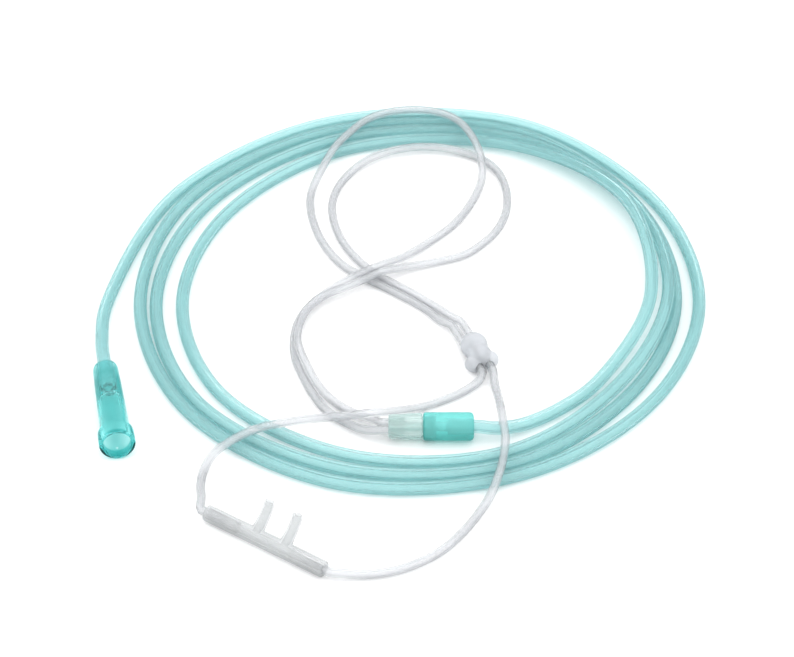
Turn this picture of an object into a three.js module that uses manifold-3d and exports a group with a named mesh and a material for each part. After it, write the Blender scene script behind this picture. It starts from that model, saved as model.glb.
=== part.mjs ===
// Nasal oxygen cannula as it lies on a level floor: a coiled supply tube with a flared connector
// at its outer end, a junction sleeve and collar at its inner end, two thin face tubes that run
// through a slider bead, and the nasal piece with two curved prongs.
// Millimetres, +Z up. The origin is on the floor, under the middle of the rigid small pieces.
import * as THREE from "three";
import { mergeVertices } from "three/addons/utils/BufferGeometryUtils.js";
import Module from "manifold-3d";

const wasm = await Module();
wasm.setup();

// Fits
const FIT_GAP = 0.2; // between a tube and its socket, all round
const END_GAP = 0.3; // between faces that meet end to end
const ROUND_SIDES = 28;

// Supply tube
const SUPPLY_OD = 5;
const SUPPLY_SIDES = 10;
const FLOOR_LEVEL = SUPPLY_OD / 2; // height of its middle line where it lies on the floor

// The coil winds inwards, clockwise from above. Each row is one turn, from the left side over
// the far side and the right side to the near side, one value every tenth of a turn.
const COIL_CENTRE = [27, 86];
const KNOTS_PER_TURN = 10;
const COIL_START = Math.PI;
const TURN_RADII = [
  [123.7, 122.9, 125.5, 124.3, 112.4, 104.6, 100.7, 102.3, 106.9, 109],
  [111.1, 116.6, 119.4, 118.6, 104.3, 95.5, 91.9, 96.2, 99.6, 103.5],
  [104.9, 108.3, 112.9, 112.6, 101.2, 92.4, 86.2, 89.8, 92, 94.1],
  [94.8, 98.1, 105.2, 106.9, 96.8, 85.7, 78.5],
];
// How far each of those points is lifted off the floor by the turns it lies on.
const TURN_LIFTS = [
  [0, 0, 0, 0, 0, 0, 0, 0, 0, 0],
  [0, 0, 0, 0, 0, 0, 0, 0, 0, 0],
  [0, 0, 0, 1.2, 4.3, 4.8, 1.5, 0, 0, 0],
  [0, 0, 0, 1.5, 8.3, 4, 0.5],
];

// Supply connector: a flared funnel that lies on its collar
const CONNECTOR_LENGTH = 45.5;
const CONNECTOR_TUBE_END_DIA = 9.6;
const CONNECTOR_BODY_DIA = 11;
const CONNECTOR_COLLAR_DIA = 13.2;
const CONNECTOR_COLLAR_LENGTH = 7;
const CONNECTOR_SHOULDER = 2.2;
const CONNECTOR_MOUTH_BORE = 10.4;
const CONNECTOR_NECK_BORE = 8;
const CONNECTOR_PASSAGE = 3.4;
const CONNECTOR_SOCKET_DEPTH = 14;
const CONNECTOR_PASSAGE_LENGTH = 4.5;
const CONNECTOR_X = -94; // of its tube end
const CONNECTOR_Y = 44.6;
const CONNECTOR_LEAD = 6; // how far the supply tube runs straight before it
const CONNECTOR_HEADING = THREE.MathUtils.degToRad(-79.5);

// Junction of the supply tube and the two face tubes, along X
const JUNCTION_Y = 11.4;
const SLEEVE_RIGHT_X = 43;
const SLEEVE_LENGTH = 18.5;
const SLEEVE_OD = 10.5;
const SLEEVE_SOCKET_DEPTH = 9.5;
const SLEEVE_PASSAGE = 3.2;
const SLEEVE_RIM = 0.8;
const SPIGOT_DIA = 7.4;
const SPIGOT_LENGTH = 4.5;
const COLLAR_LENGTH = 12.3;
const COLLAR_WIDE_DIA = 10.2;
const COLLAR_NARROW_DIA = 9;
const COLLAR_RIBS = 10;
const COLLAR_RIB_HEIGHT = 0.5;
const COLLAR_SOCKET_DEPTH = 6;
const JUNCTION_LEVEL = SLEEVE_OD / 2;

// Face tubes
const FACE_OD = 3.2;
const FACE_SIDES = 8;
const FACE_PITCH = 4.2; // between the two middle lines where they run side by side
const FACE_FLOOR = FACE_OD / 2;
const OVER_SUPPLY = SUPPLY_OD + END_GAP + FACE_OD / 2; // over one turn of the supply tube
const OVER_FACE = FACE_OD + END_GAP + FACE_OD / 2; // over one face tube

// Slider bead on the two face tubes
const SLIDER_X = 44.8;
const SLIDER_Y = 55;
const SLIDER_HEADING = THREE.MathUtils.degToRad(-68);
const SLIDER_LEVEL = 3; // height of the two tubes in the bead
const SLIDER_HEAD_RADIUS = 5.2;
const SLIDER_HEAD_BACK = 2; // how far the head's middle is behind the bead's middle
const SLIDER_LOBE_RADIUS = 3.2;
const SLIDER_LOBE_AHEAD = 5.4;
const SLIDER_LOBE_SIDE = 3.5;
const SLIDER_NECK_RADIUS = 4; // of the ball between the head and the lobes
const SLIDER_BORE_LENGTH = 30; // longer than the bead

// Nasal piece
const NASAL_LENGTH = 50.6;
const NASAL_OD = 6;
const NASAL_X = -31; // of its middle
const NASAL_Y = -45.5;
const NASAL_HEADING = THREE.MathUtils.degToRad(-34);
const NASAL_SOCKET_DEPTH = 14;
const NASAL_PASSAGE = 2.8;
const PRONG_PITCH = 12;
const PRONG_SHIFT = 1.6; // of the pair, from the middle of the piece towards its right end
const PRONG_OD = 4.3;
const PRONG_BORE = 2.7;
const PRONG_SIDES = 16;
const PRONG_STEPS = 8;
// The prong's middle line: how far behind the body's axis, and how high above it.
const PRONG_LINE = [
  [0, 0],
  [3, 2.2],
  [6, 4.5],
  [8.2, 6.9],
  [9.4, 9.4],
];

// A closed three.js geometry as a solid that can be joined or cut.
function solidOf(geometry) {
  const bare = geometry.index ? geometry.toNonIndexed() : geometry.clone();
  bare.deleteAttribute("normal");
  bare.deleteAttribute("uv");
  const merged = mergeVertices(bare, 1e-4);
  const triVerts = new Uint32Array(merged.index.array);
  const vertProperties = merged.attributes.position.array;
  return new wasm.Manifold(new wasm.Mesh({ numProp: 3, vertProperties, triVerts }));
}

// The surface of a solid as a three.js geometry.
function geometryOf(solid) {
  const mesh = solid.getMesh();
  const geometry = new THREE.BufferGeometry();
  geometry.setAttribute("position", new THREE.BufferAttribute(mesh.vertProperties, 3));
  geometry.setIndex(new THREE.BufferAttribute(mesh.triVerts, 1));
  const flat = geometry.toNonIndexed();
  flat.computeVertexNormals();
  return flat;
}

// A cylinder along X from one point, as a solid.
function rodAlongX(diameter, length, x, y = 0, z = 0, sides = ROUND_SIDES) {
  const rod = new THREE.CylinderGeometry(diameter / 2, diameter / 2, length, sides);
  rod.rotateZ(-Math.PI / 2);
  rod.translate(x + length / 2, y, z);
  return solidOf(rod);
}

// A round section for a tube.
function roundSection(diameter, sides) {
  const section = new THREE.Shape();
  for (let i = 0; i < sides; i++) {
    const angle = (2 * Math.PI * i) / sides;
    const x = (diameter / 2) * Math.cos(angle);
    const y = (diameter / 2) * Math.sin(angle);
    if (i === 0) section.moveTo(x, y);
    else section.lineTo(x, y);
  }
  section.closePath();
  return section;
}

// A curve through points, walked point by point, so that turns side by side step together.
class StepCurve extends THREE.CatmullRomCurve3 {
  getUtoTmapping(u) {
    return u;
  }
}

// A solid tube through points, with a number of steps from each point to the next.
function tubeThrough(points, diameter, sides, stepsEach) {
  const curve = new StepCurve(points, false, "centripetal");
  const steps = (points.length - 1) * stepsEach;
  const section = roundSection(diameter, sides);
  const tube = new THREE.ExtrudeGeometry(section, { steps, extrudePath: curve });
  return tube;
}

function vectorsOf(list) {
  return list.map(([x, y, z]) => new THREE.Vector3(x, y, z));
}

// ---- Supply tube: from inside the connector, round the coil, to inside the junction sleeve.
const connectorTilt = Math.asin(
  (CONNECTOR_COLLAR_DIA - CONNECTOR_TUBE_END_DIA) / 2 / CONNECTOR_LENGTH,
);
const connectorAxis = new THREE.Vector3(
  Math.cos(CONNECTOR_HEADING) * Math.cos(connectorTilt),
  Math.sin(CONNECTOR_HEADING) * Math.cos(connectorTilt),
  Math.sin(connectorTilt),
);
const connectorTubeEnd = new THREE.Vector3(CONNECTOR_X, CONNECTOR_Y, CONNECTOR_TUBE_END_DIA / 2);

function inConnector(depth) {
  return connectorTubeEnd.clone().addScaledVector(connectorAxis, depth);
}

const coilPoints = [];
TURN_RADII.forEach((radii, turn) => {
  radii.forEach((radius, knot) => {
    const angle = COIL_START - (2 * Math.PI * knot) / KNOTS_PER_TURN;
    const x = COIL_CENTRE[0] + radius * Math.cos(angle);
    const y = COIL_CENTRE[1] + radius * Math.sin(angle);
    coilPoints.push(new THREE.Vector3(x, y, FLOOR_LEVEL + TURN_LIFTS[turn][knot]));
  });
});

const supplyPoints = [
  inConnector(CONNECTOR_SOCKET_DEPTH - END_GAP),
  inConnector(CONNECTOR_SOCKET_DEPTH / 2),
  inConnector(0),
  inConnector(-CONNECTOR_LEAD),
  ...vectorsOf([[-96.8, 62, 3.1]]),
  ...coilPoints,
  ...vectorsOf([
    [76, 25, FLOOR_LEVEL],
    [61, 15, 3],
    [51, JUNCTION_Y, 4.4],
    [SLEEVE_RIGHT_X + 1.5, JUNCTION_Y, JUNCTION_LEVEL],
    [SLEEVE_RIGHT_X - 3, JUNCTION_Y, JUNCTION_LEVEL],
    [SLEEVE_RIGHT_X - SLEEVE_SOCKET_DEPTH + END_GAP, JUNCTION_Y, JUNCTION_LEVEL],
  ]),
];
const supplyGeometry = tubeThrough(supplyPoints, SUPPLY_OD, SUPPLY_SIDES, 2);

// ---- Supply connector, made along +Y from its tube end at the origin.
const connectorNeck = CONNECTOR_SOCKET_DEPTH + CONNECTOR_PASSAGE_LENGTH;
const connectorSocket = SUPPLY_OD / 2 + FIT_GAP;
const connectorProfile = [
  [connectorSocket, 0],
  [CONNECTOR_TUBE_END_DIA / 2 - 1.1, 0],
  [CONNECTOR_TUBE_END_DIA / 2 - 0.3, CONNECTOR_SHOULDER * 0.4],
  [CONNECTOR_TUBE_END_DIA / 2, CONNECTOR_SHOULDER],
  [CONNECTOR_BODY_DIA / 2, CONNECTOR_LENGTH - CONNECTOR_COLLAR_LENGTH - 0.8],
  [CONNECTOR_COLLAR_DIA / 2 - 0.2, CONNECTOR_LENGTH - CONNECTOR_COLLAR_LENGTH],
  [CONNECTOR_COLLAR_DIA / 2, CONNECTOR_LENGTH - CONNECTOR_COLLAR_LENGTH + 0.8],
  [CONNECTOR_COLLAR_DIA / 2, CONNECTOR_LENGTH],
  [CONNECTOR_MOUTH_BORE / 2, CONNECTOR_LENGTH],
  [CONNECTOR_MOUTH_BORE / 2 - 0.5, CONNECTOR_LENGTH - CONNECTOR_COLLAR_LENGTH],
  [CONNECTOR_NECK_BORE / 2, connectorNeck + 0.5],
  [CONNECTOR_NECK_BORE / 2 - 0.5, connectorNeck],
  [CONNECTOR_PASSAGE / 2, connectorNeck],
  [CONNECTOR_PASSAGE / 2, CONNECTOR_SOCKET_DEPTH],
  [connectorSocket, CONNECTOR_SOCKET_DEPTH],
  [connectorSocket, 0],
].map(([radius, along]) => new THREE.Vector2(radius, along));
const connectorGeometry = new THREE.LatheGeometry(connectorProfile, ROUND_SIDES);

// ---- Junction sleeve, made along +Y from its left end at the origin.
const sleeveSocket = SUPPLY_OD / 2 + FIT_GAP;
const spigotSocket = SPIGOT_DIA / 2 + FIT_GAP;
const spigotDepth = SPIGOT_LENGTH + END_GAP;
const sleeveProfile = [
  [spigotSocket, 0],
  [SLEEVE_OD / 2 - SLEEVE_RIM, 0],
  [SLEEVE_OD / 2, SLEEVE_RIM],
  [SLEEVE_OD / 2, SLEEVE_LENGTH - SLEEVE_RIM],
  [SLEEVE_OD / 2 - SLEEVE_RIM, SLEEVE_LENGTH],
  [sleeveSocket, SLEEVE_LENGTH],
  [sleeveSocket, SLEEVE_LENGTH - SLEEVE_SOCKET_DEPTH],
  [SLEEVE_PASSAGE / 2, SLEEVE_LENGTH - SLEEVE_SOCKET_DEPTH],
  [SLEEVE_PASSAGE / 2, spigotDepth],
  [spigotSocket, spigotDepth],
  [spigotSocket, 0],
].map(([radius, along]) => new THREE.Vector2(radius, along));
const sleeveGeometry = new THREE.LatheGeometry(sleeveProfile, ROUND_SIDES);

// ---- Junction collar, made along X with its narrow end at the origin.
function ribbedOutline(radius) {
  const outline = new THREE.Shape();
  const corners = COLLAR_RIBS * 4;
  for (let i = 0; i < corners; i++) {
    const angle = (2 * Math.PI * i) / corners;
    const onRib = i % 4 < 2;
    const reach = onRib ? radius : radius - COLLAR_RIB_HEIGHT;
    const x = reach * Math.cos(angle);
    const y = reach * Math.sin(angle);
    if (i === 0) outline.moveTo(x, y);
    else outline.lineTo(x, y);
  }
  outline.closePath();
  return outline;
}

function collarSolid() {
  const body = new THREE.ExtrudeGeometry(ribbedOutline(COLLAR_WIDE_DIA / 2), {
    depth: COLLAR_LENGTH,
    bevelEnabled: false,
  });
  // The ribbed body narrows towards the face tubes.
  const corners = body.attributes.position;
  for (let i = 0; i < corners.count; i++) {
    const share = corners.getZ(i) / COLLAR_LENGTH;
    const scale = THREE.MathUtils.lerp(COLLAR_NARROW_DIA / COLLAR_WIDE_DIA, 1, share);
    corners.setX(i, corners.getX(i) * scale);
    corners.setY(i, corners.getY(i) * scale);
  }
  body.rotateY(Math.PI / 2);
  let solid = solidOf(body);
  solid = solid.add(rodAlongX(SPIGOT_DIA, SPIGOT_LENGTH + 1, COLLAR_LENGTH - 1));
  for (const side of [-1, 1]) {
    const y = (side * FACE_PITCH) / 2;
    solid = solid.subtract(
      rodAlongX(FACE_OD + 2 * FIT_GAP, COLLAR_SOCKET_DEPTH + 1, -1, y, 0, 20),
    );
  }
  const chamber = COLLAR_LENGTH + SPIGOT_LENGTH - COLLAR_SOCKET_DEPTH;
  solid = solid.subtract(rodAlongX(SLEEVE_PASSAGE, chamber + 2, COLLAR_SOCKET_DEPTH - 1));
  return solid;
}
const collarGeometry = geometryOf(collarSolid());

// ---- Face tubes. The near tube leaves the collar's near socket, the far tube its far socket.
const sliderAhead = [Math.cos(SLIDER_HEADING), Math.sin(SLIDER_HEADING)];
const sliderAside = [-Math.sin(SLIDER_HEADING), Math.cos(SLIDER_HEADING)];

// A point on one of the two tubes where they run side by side through the slider.
function sideBySide(along, side) {
  const aside = (side * FACE_PITCH) / 2;
  return new THREE.Vector3(
    SLIDER_X + along * sliderAhead[0] + aside * sliderAside[0],
    SLIDER_Y + along * sliderAhead[1] + aside * sliderAside[1],
    SLIDER_LEVEL,
  );
}

const nasalAlong = [Math.cos(NASAL_HEADING), Math.sin(NASAL_HEADING)];

// A point on the nasal piece's axis, measured from its middle.
function onNasalAxis(along) {
  return new THREE.Vector3(
    NASAL_X + along * nasalAlong[0],
    NASAL_Y + along * nasalAlong[1],
    NASAL_OD / 2,
  );
}

const collarLeftX = SLEEVE_RIGHT_X - SLEEVE_LENGTH - END_GAP - COLLAR_LENGTH;

// The start of a face tube in its socket of the collar.
function inCollar(side) {
  const y = JUNCTION_Y + (side * FACE_PITCH) / 2;
  return [COLLAR_SOCKET_DEPTH - END_GAP, COLLAR_SOCKET_DEPTH / 2, 0, -2.5].map(
    (depth) => new THREE.Vector3(collarLeftX + depth, y, JUNCTION_LEVEL),
  );
}

// The far end of a face tube in the nasal piece, at its left end (-1) or right end (1).
function inNasalPiece(end) {
  const mouth = NASAL_LENGTH / 2;
  return [mouth + 2.5, mouth, mouth - 5, mouth - NASAL_SOCKET_DEPTH + END_GAP].map((along) =>
    onNasalAxis(end * along),
  );
}

const nearTubeLoop = [
  [2.5, 12.3, 3],
  [-4, 17.9, FACE_FLOOR],
  [-11, 24.2, FACE_FLOOR],
  [-16.2, 33.4, FACE_FLOOR],
  [-20.2, 43.6, FACE_FLOOR],
  [-23, 52.7, FACE_FLOOR],
  [-24.1, 61.8, FACE_FLOOR],
  [-23.2, 73.3, FACE_FLOOR],
  [-20.8, 80.6, FACE_FLOOR],
  [-17.3, 86.6, 1.8],
  [-12.6, 91.3, 2.6],
  [-6.4, 95.6, 4.2],
  [-0.6, 99.1, OVER_FACE],
  [4.9, 103.1, 5.3],
  [10.3, 106.7, OVER_FACE],
  [16.8, 112.9, 3],
  [28, 124.8, FACE_FLOOR],
  [38, 136.5, FACE_FLOOR],
  [45.5, 151.5, FACE_FLOOR],
  [49.5, 164, 2.8],
  [49.8, 173, OVER_FACE],
  [47.4, 183.5, 7.5],
  [41.4, 196.5, 8.3],
  [34, 204.2, 7.5],
  [24.5, 207.6, OVER_SUPPLY],
  [12.5, 206.3, OVER_SUPPLY],
  [3.3, 201.3, OVER_SUPPLY],
  [-4, 192.3, OVER_SUPPLY],
  [-11, 180.1, OVER_SUPPLY],
  [-16.3, 168.7, 3.6],
  [-19.8, 157, FACE_FLOOR],
  [-19.6, 144, FACE_FLOOR],
  [-14.8, 125, FACE_FLOOR],
  [-6.2, 109.8, FACE_FLOOR],
  [2.5, 102.2, FACE_FLOOR],
  [15.5, 92.2, FACE_FLOOR],
  [26, 83, FACE_FLOOR],
  [31.8, 75.3, 2.2],
];
const nearTubeTail = [
  [45.9, 40.9, 2.2],
  [42, 36.8, FACE_FLOOR],
  [34.5, 31.4, FACE_FLOOR],
  [24.2, 26.3, FACE_FLOOR],
  [15, 19.5, 5.7],
  [6.5, 15.6, 8.2],
  [-2, 16, 6.6],
  [-11.4, 17.7, 4],
  [-19.3, 15.5, 4.8],
  [-27.5, 11.3, OVER_SUPPLY],
  [-36.1, 8.2, OVER_SUPPLY],
  [-44.2, 2.5, OVER_SUPPLY],
  [-50.9, -2.1, 4.5],
  [-54.2, -6.9, FACE_FLOOR],
  [-55.1, -14.7, FACE_FLOOR],
  [-54.5, -22.8, 2.2],
];
const farTubeLoop = [
  [7, 17, 3.4],
  [-0.6, 22.5, 1.8],
  [-7.9, 28.8, FACE_FLOOR],
  [-14.3, 36.7, 3],
  [-18.7, 46.2, 4.5],
  [-21.4, 54.2, 4.8],
  [-22.8, 61.2, 4.8],
  [-22.1, 70.2, 4.9],
  [-19.3, 79.2, 4.9],
  [-14.8, 85.4, 4.9],
  [-10.3, 89.1, 5],
  [-5.1, 91.8, OVER_FACE],
  [0.8, 95.9, OVER_FACE],
  [8.8, 101.1, 5.4],
  [16.6, 106.4, 3],
  [30, 112, FACE_FLOOR],
  [41.5, 116.5, FACE_FLOOR],
  [50.5, 125.5, FACE_FLOOR],
  [56.5, 136, FACE_FLOOR],
  [59.6, 150, FACE_FLOOR],
  [58.3, 165.6, FACE_FLOOR],
  [54.1, 175.4, FACE_FLOOR],
  [47, 182.1, FACE_FLOOR],
  [36.5, 185.8, 2.6],
  [25, 186.8, 3],
  [13, 183.9, 3],
  [2.6, 178.1, 2.4],
  [-5.5, 168.4, FACE_FLOOR],
  [-10.1, 156.8, FACE_FLOOR],
  [-11.1, 144.5, FACE_FLOOR],
  [-7.4, 127, FACE_FLOOR],
  [0.3, 112.2, FACE_FLOOR],
  [8, 103.1, FACE_FLOOR],
  [19.5, 93.8, FACE_FLOOR],
  [29.6, 84.4, FACE_FLOOR],
  [36, 77.5, 2.2],
];
const farTubeTail = [
  [51.3, 38.7, 2.6],
  [52.3, 29.2, 4.3],
  [53, 18.4, 7.7],
  [53.5, 10.6, 8.6],
  [54.1, 3.5, 7.6],
  [53.4, -5, OVER_SUPPLY],
  [51.6, -14.4, OVER_SUPPLY],
  [48.2, -22.4, 3],
  [43.9, -30.1, FACE_FLOOR],
  [38.8, -38.7, FACE_FLOOR],
  [32.2, -47.2, FACE_FLOOR],
  [24.7, -53.5, FACE_FLOOR],
  [15, -58.5, FACE_FLOOR],
  [4, -60.7, FACE_FLOOR],
  [-3.2, -60.8, 2.3],
];

const STRAIGHT_RUN = [-19, -16, -8, 4, 8.8, 10.8]; // along the slider's axis

function faceTubePoints(side, loop, tail, end) {
  return [
    ...inCollar(side),
    ...vectorsOf(loop),
    ...STRAIGHT_RUN.map((along) => sideBySide(along, side)),
    ...vectorsOf(tail),
    ...inNasalPiece(end),
  ];
}
const nearTubePoints = faceTubePoints(-1, nearTubeLoop, nearTubeTail, -1);
const farTubePoints = faceTubePoints(1, farTubeLoop, farTubeTail, 1);
const nearTubeGeometry = tubeThrough(nearTubePoints, FACE_OD, FACE_SIDES, 1);
const farTubeGeometry = tubeThrough(farTubePoints, FACE_OD, FACE_SIDES, 1);

// ---- Slider bead, made along X with its middle at the origin on the floor.
function ballAt(radius, x, y, z) {
  const ball = new THREE.SphereGeometry(radius, 22, 14);
  ball.rotateX(Math.PI / 2);
  ball.translate(x, y, z);
  return solidOf(ball);
}

function sliderSolid() {
  let solid = ballAt(SLIDER_HEAD_RADIUS, -SLIDER_HEAD_BACK, 0, SLIDER_HEAD_RADIUS);
  for (const side of [-1, 1]) {
    const y = side * SLIDER_LOBE_SIDE;
    solid = solid.add(ballAt(SLIDER_LOBE_RADIUS, SLIDER_LOBE_AHEAD, y, SLIDER_LOBE_RADIUS));
  }
  solid = solid.add(ballAt(SLIDER_NECK_RADIUS, SLIDER_LOBE_AHEAD / 2, 0, SLIDER_NECK_RADIUS));
  for (const side of [-1, 1]) {
    const y = (side * FACE_PITCH) / 2;
    const start = -SLIDER_BORE_LENGTH / 2;
    solid = solid.subtract(
      rodAlongX(FACE_OD + 2 * FIT_GAP, SLIDER_BORE_LENGTH, start, y, SLIDER_LEVEL, 20),
    );
  }
  return solid;
}
const sliderGeometry = geometryOf(sliderSolid());

// ---- Nasal piece, made along X with its middle at the origin, its prongs towards +Y and +Z.
function prongX(side) {
  return PRONG_SHIFT + (side * PRONG_PITCH) / 2;
}

function prongCurve(x) {
  return new THREE.CatmullRomCurve3(
    PRONG_LINE.map(([back, up]) => new THREE.Vector3(x, back, up)),
    false,
    "centripetal",
  );
}

function prongSolid(x, diameter, sides) {
  const section = roundSection(diameter, sides);
  return solidOf(
    new THREE.ExtrudeGeometry(section, { steps: PRONG_STEPS, extrudePath: prongCurve(x) }),
  );
}

// The bore follows the same line and runs out past the prong's tip.
function prongBore(x) {
  const line = PRONG_LINE.map(([back, up]) => new THREE.Vector3(x, back, up));
  const tip = line.at(-1);
  const before = line.at(-2);
  line.push(tip.clone().add(tip.clone().sub(before).normalize()));
  const curve = new THREE.CatmullRomCurve3(line, false, "centripetal");
  const section = roundSection(PRONG_BORE, PRONG_SIDES);
  return solidOf(
    new THREE.ExtrudeGeometry(section, { steps: PRONG_STEPS + 1, extrudePath: curve }),
  );
}

function nasalSolid() {
  const half = NASAL_LENGTH / 2;
  let solid = rodAlongX(NASAL_OD, NASAL_LENGTH, -half);
  for (const side of [-1, 1]) {
    solid = solid.add(prongSolid(prongX(side), PRONG_OD, PRONG_SIDES));
  }
  solid = solid.subtract(rodAlongX(NASAL_PASSAGE, NASAL_LENGTH, -half));
  const socket = FACE_OD + 2 * FIT_GAP;
  solid = solid.subtract(rodAlongX(socket, NASAL_SOCKET_DEPTH + 1, -half - 1));
  solid = solid.subtract(rodAlongX(socket, NASAL_SOCKET_DEPTH + 1, half - NASAL_SOCKET_DEPTH));
  for (const side of [-1, 1]) {
    solid = solid.subtract(prongBore(prongX(side)));
  }
  return solid;
}
const nasalGeometry = geometryOf(nasalSolid());

// ---- Materials
const tealClear = new THREE.MeshStandardMaterial({ color: 0x5fcdc8, roughness: 0.2 });
const aquaClear = new THREE.MeshStandardMaterial({ color: 0xaae1dc, roughness: 0.2 });
const aquaSleeve = new THREE.MeshStandardMaterial({ color: 0x6ed2c8, roughness: 0.25 });
const paleClear = new THREE.MeshStandardMaterial({ color: 0xb9dcd7, roughness: 0.3 });
const greyClear = new THREE.MeshStandardMaterial({ color: 0xd8dcdd, roughness: 0.25 });
const frosted = new THREE.MeshStandardMaterial({ color: 0xd7dce1, roughness: 0.5 });
const milky = new THREE.MeshStandardMaterial({ color: 0xd4d8d8, roughness: 0.4 });

// ---- The assembly
const cannula = new THREE.Group();

function place(name, geometry, material, parent = cannula) {
  const mesh = new THREE.Mesh(geometry, material);
  mesh.name = name;
  parent.add(mesh);
  return mesh;
}

place("supply_tube", supplyGeometry, aquaClear);

const connector = place("supply_connector", connectorGeometry, tealClear);
connector.position.copy(connectorTubeEnd);
connector.quaternion.setFromUnitVectors(new THREE.Vector3(0, 1, 0), connectorAxis);

const junction = new THREE.Group();
junction.position.set(SLEEVE_RIGHT_X - SLEEVE_LENGTH, JUNCTION_Y, JUNCTION_LEVEL);
cannula.add(junction);
const sleeve = place("junction_sleeve", sleeveGeometry, aquaSleeve, junction);
sleeve.rotation.z = -Math.PI / 2;
const collar = place("junction_collar", collarGeometry, paleClear, junction);
collar.position.x = -COLLAR_LENGTH - END_GAP;

place("face_tube_near", nearTubeGeometry, greyClear);
place("face_tube_far", farTubeGeometry, greyClear);

const slider = place("slider", sliderGeometry, frosted);
slider.position.set(SLIDER_X, SLIDER_Y, 0);
slider.rotation.z = SLIDER_HEADING;

const nasal = place("nasal_piece", nasalGeometry, milky);
nasal.position.set(NASAL_X, NASAL_Y, NASAL_OD / 2);
nasal.rotation.z = NASAL_HEADING;

export default cannula;
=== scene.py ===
"""A nasal oxygen cannula as it lies on a pale floor: a loose coil of clear supply tube with its
connector and junction, two face tubes with their slider bead, and the nasal piece."""

import math

import bmesh
import bpy
from mathutils import Matrix, Vector


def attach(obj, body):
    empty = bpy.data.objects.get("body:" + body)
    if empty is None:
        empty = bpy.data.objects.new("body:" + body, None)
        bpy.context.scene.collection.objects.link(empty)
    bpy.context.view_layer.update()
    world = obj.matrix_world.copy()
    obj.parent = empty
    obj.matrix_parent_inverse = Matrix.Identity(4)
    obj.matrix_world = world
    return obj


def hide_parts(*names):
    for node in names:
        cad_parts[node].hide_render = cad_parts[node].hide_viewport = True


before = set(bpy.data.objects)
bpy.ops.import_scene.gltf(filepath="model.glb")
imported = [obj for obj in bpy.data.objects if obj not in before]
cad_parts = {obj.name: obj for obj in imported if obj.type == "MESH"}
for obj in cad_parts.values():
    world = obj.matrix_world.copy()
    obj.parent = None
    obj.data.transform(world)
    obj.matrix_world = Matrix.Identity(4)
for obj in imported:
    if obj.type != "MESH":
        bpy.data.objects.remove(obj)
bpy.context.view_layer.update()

MM = 0.001
SET = "tubing"  # the body that everything but the slider rides on

# The camera
LOOK_AT = Vector((15, 73.1, 0)) * MM
CAMERA_DISTANCE = 1030 * MM
CAMERA_ELEVATION = math.radians(40)
CAMERA_LENS = 122
CAMERA_NEAR = 0.01  # nothing nearer than this is drawn, in metres


def set_camera():
    data = bpy.data.cameras.new("camera")
    camera = bpy.data.objects.new("camera", data)
    bpy.context.scene.collection.objects.link(camera)
    back = Vector((0, -math.cos(CAMERA_ELEVATION), math.sin(CAMERA_ELEVATION)))
    camera.location = LOOK_AT + back * CAMERA_DISTANCE
    camera.rotation_euler = (math.pi / 2 - CAMERA_ELEVATION, 0, 0)
    data.lens = CAMERA_LENS
    data.clip_start = CAMERA_NEAR
    bpy.context.scene.camera = camera


set_camera()

# Sizes, in millimetres
FIT_GAP = 0.2
END_GAP = 0.3

SUPPLY_OD = 5
SUPPLY_LUMEN = 1.45  # mean radius of the star-shaped lumen
SUPPLY_LOBE = 0.14
SUPPLY_LOBES = 5
SUPPLY_SIDES = 50
SUPPLY_STEP = 3  # between the rings along the tube
FLOOR_LEVEL = SUPPLY_OD / 2
COIL_CENTRE = (27, 86)
KNOTS_PER_TURN = 10
TURN_RADII = (
    (123.7, 122.9, 125.5, 124.3, 112.4, 104.6, 100.7, 102.3, 106.9, 109),
    (111.1, 116.6, 119.4, 118.6, 104.3, 95.5, 91.9, 96.2, 99.6, 103.5),
    (104.9, 108.3, 112.9, 112.6, 101.2, 92.4, 86.2, 89.8, 92, 94.1),
    (94.8, 98.1, 105.2, 106.9, 96.8, 85.7, 78.5),
)
TURN_LIFTS = (
    (0, 0, 0, 0, 0, 0, 0, 0, 0, 0),
    (0, 0, 0, 0, 0, 0, 0, 0, 0, 0),
    (0, 0, 0, 1.2, 4.3, 4.8, 1.5, 0, 0, 0),
    (0, 0, 0, 1.5, 8.3, 4, 0.5),
)

CONNECTOR_LENGTH = 45.5
CONNECTOR_TUBE_END_DIA = 9.6
CONNECTOR_BODY_DIA = 11
CONNECTOR_COLLAR_DIA = 13.2
CONNECTOR_COLLAR_LENGTH = 7
CONNECTOR_SHOULDER = 2.2
CONNECTOR_MOUTH_BORE = 10.4
CONNECTOR_NECK_BORE = 8
CONNECTOR_PASSAGE = 3.4
CONNECTOR_SOCKET_DEPTH = 14
CONNECTOR_PASSAGE_LENGTH = 4.5
CONNECTOR_TUBE_END = (-94, 44.6)
CONNECTOR_HEADING = math.radians(-79.5)
CONNECTOR_LEAD = 6  # how far the supply tube runs straight before it
LEAD_POINT = (-96.8, 62, 3.1)  # between that and the coil
CONNECTOR_SIDES = 72
BORE_RIBS = 9
BORE_RIB_HEIGHT = 0.22
BORE_RIB_RADIUS = 4.5  # the ribs end where the bore gets wider than this
BORE_RIB_STOP = 4  # from the ribs to the collar

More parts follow.
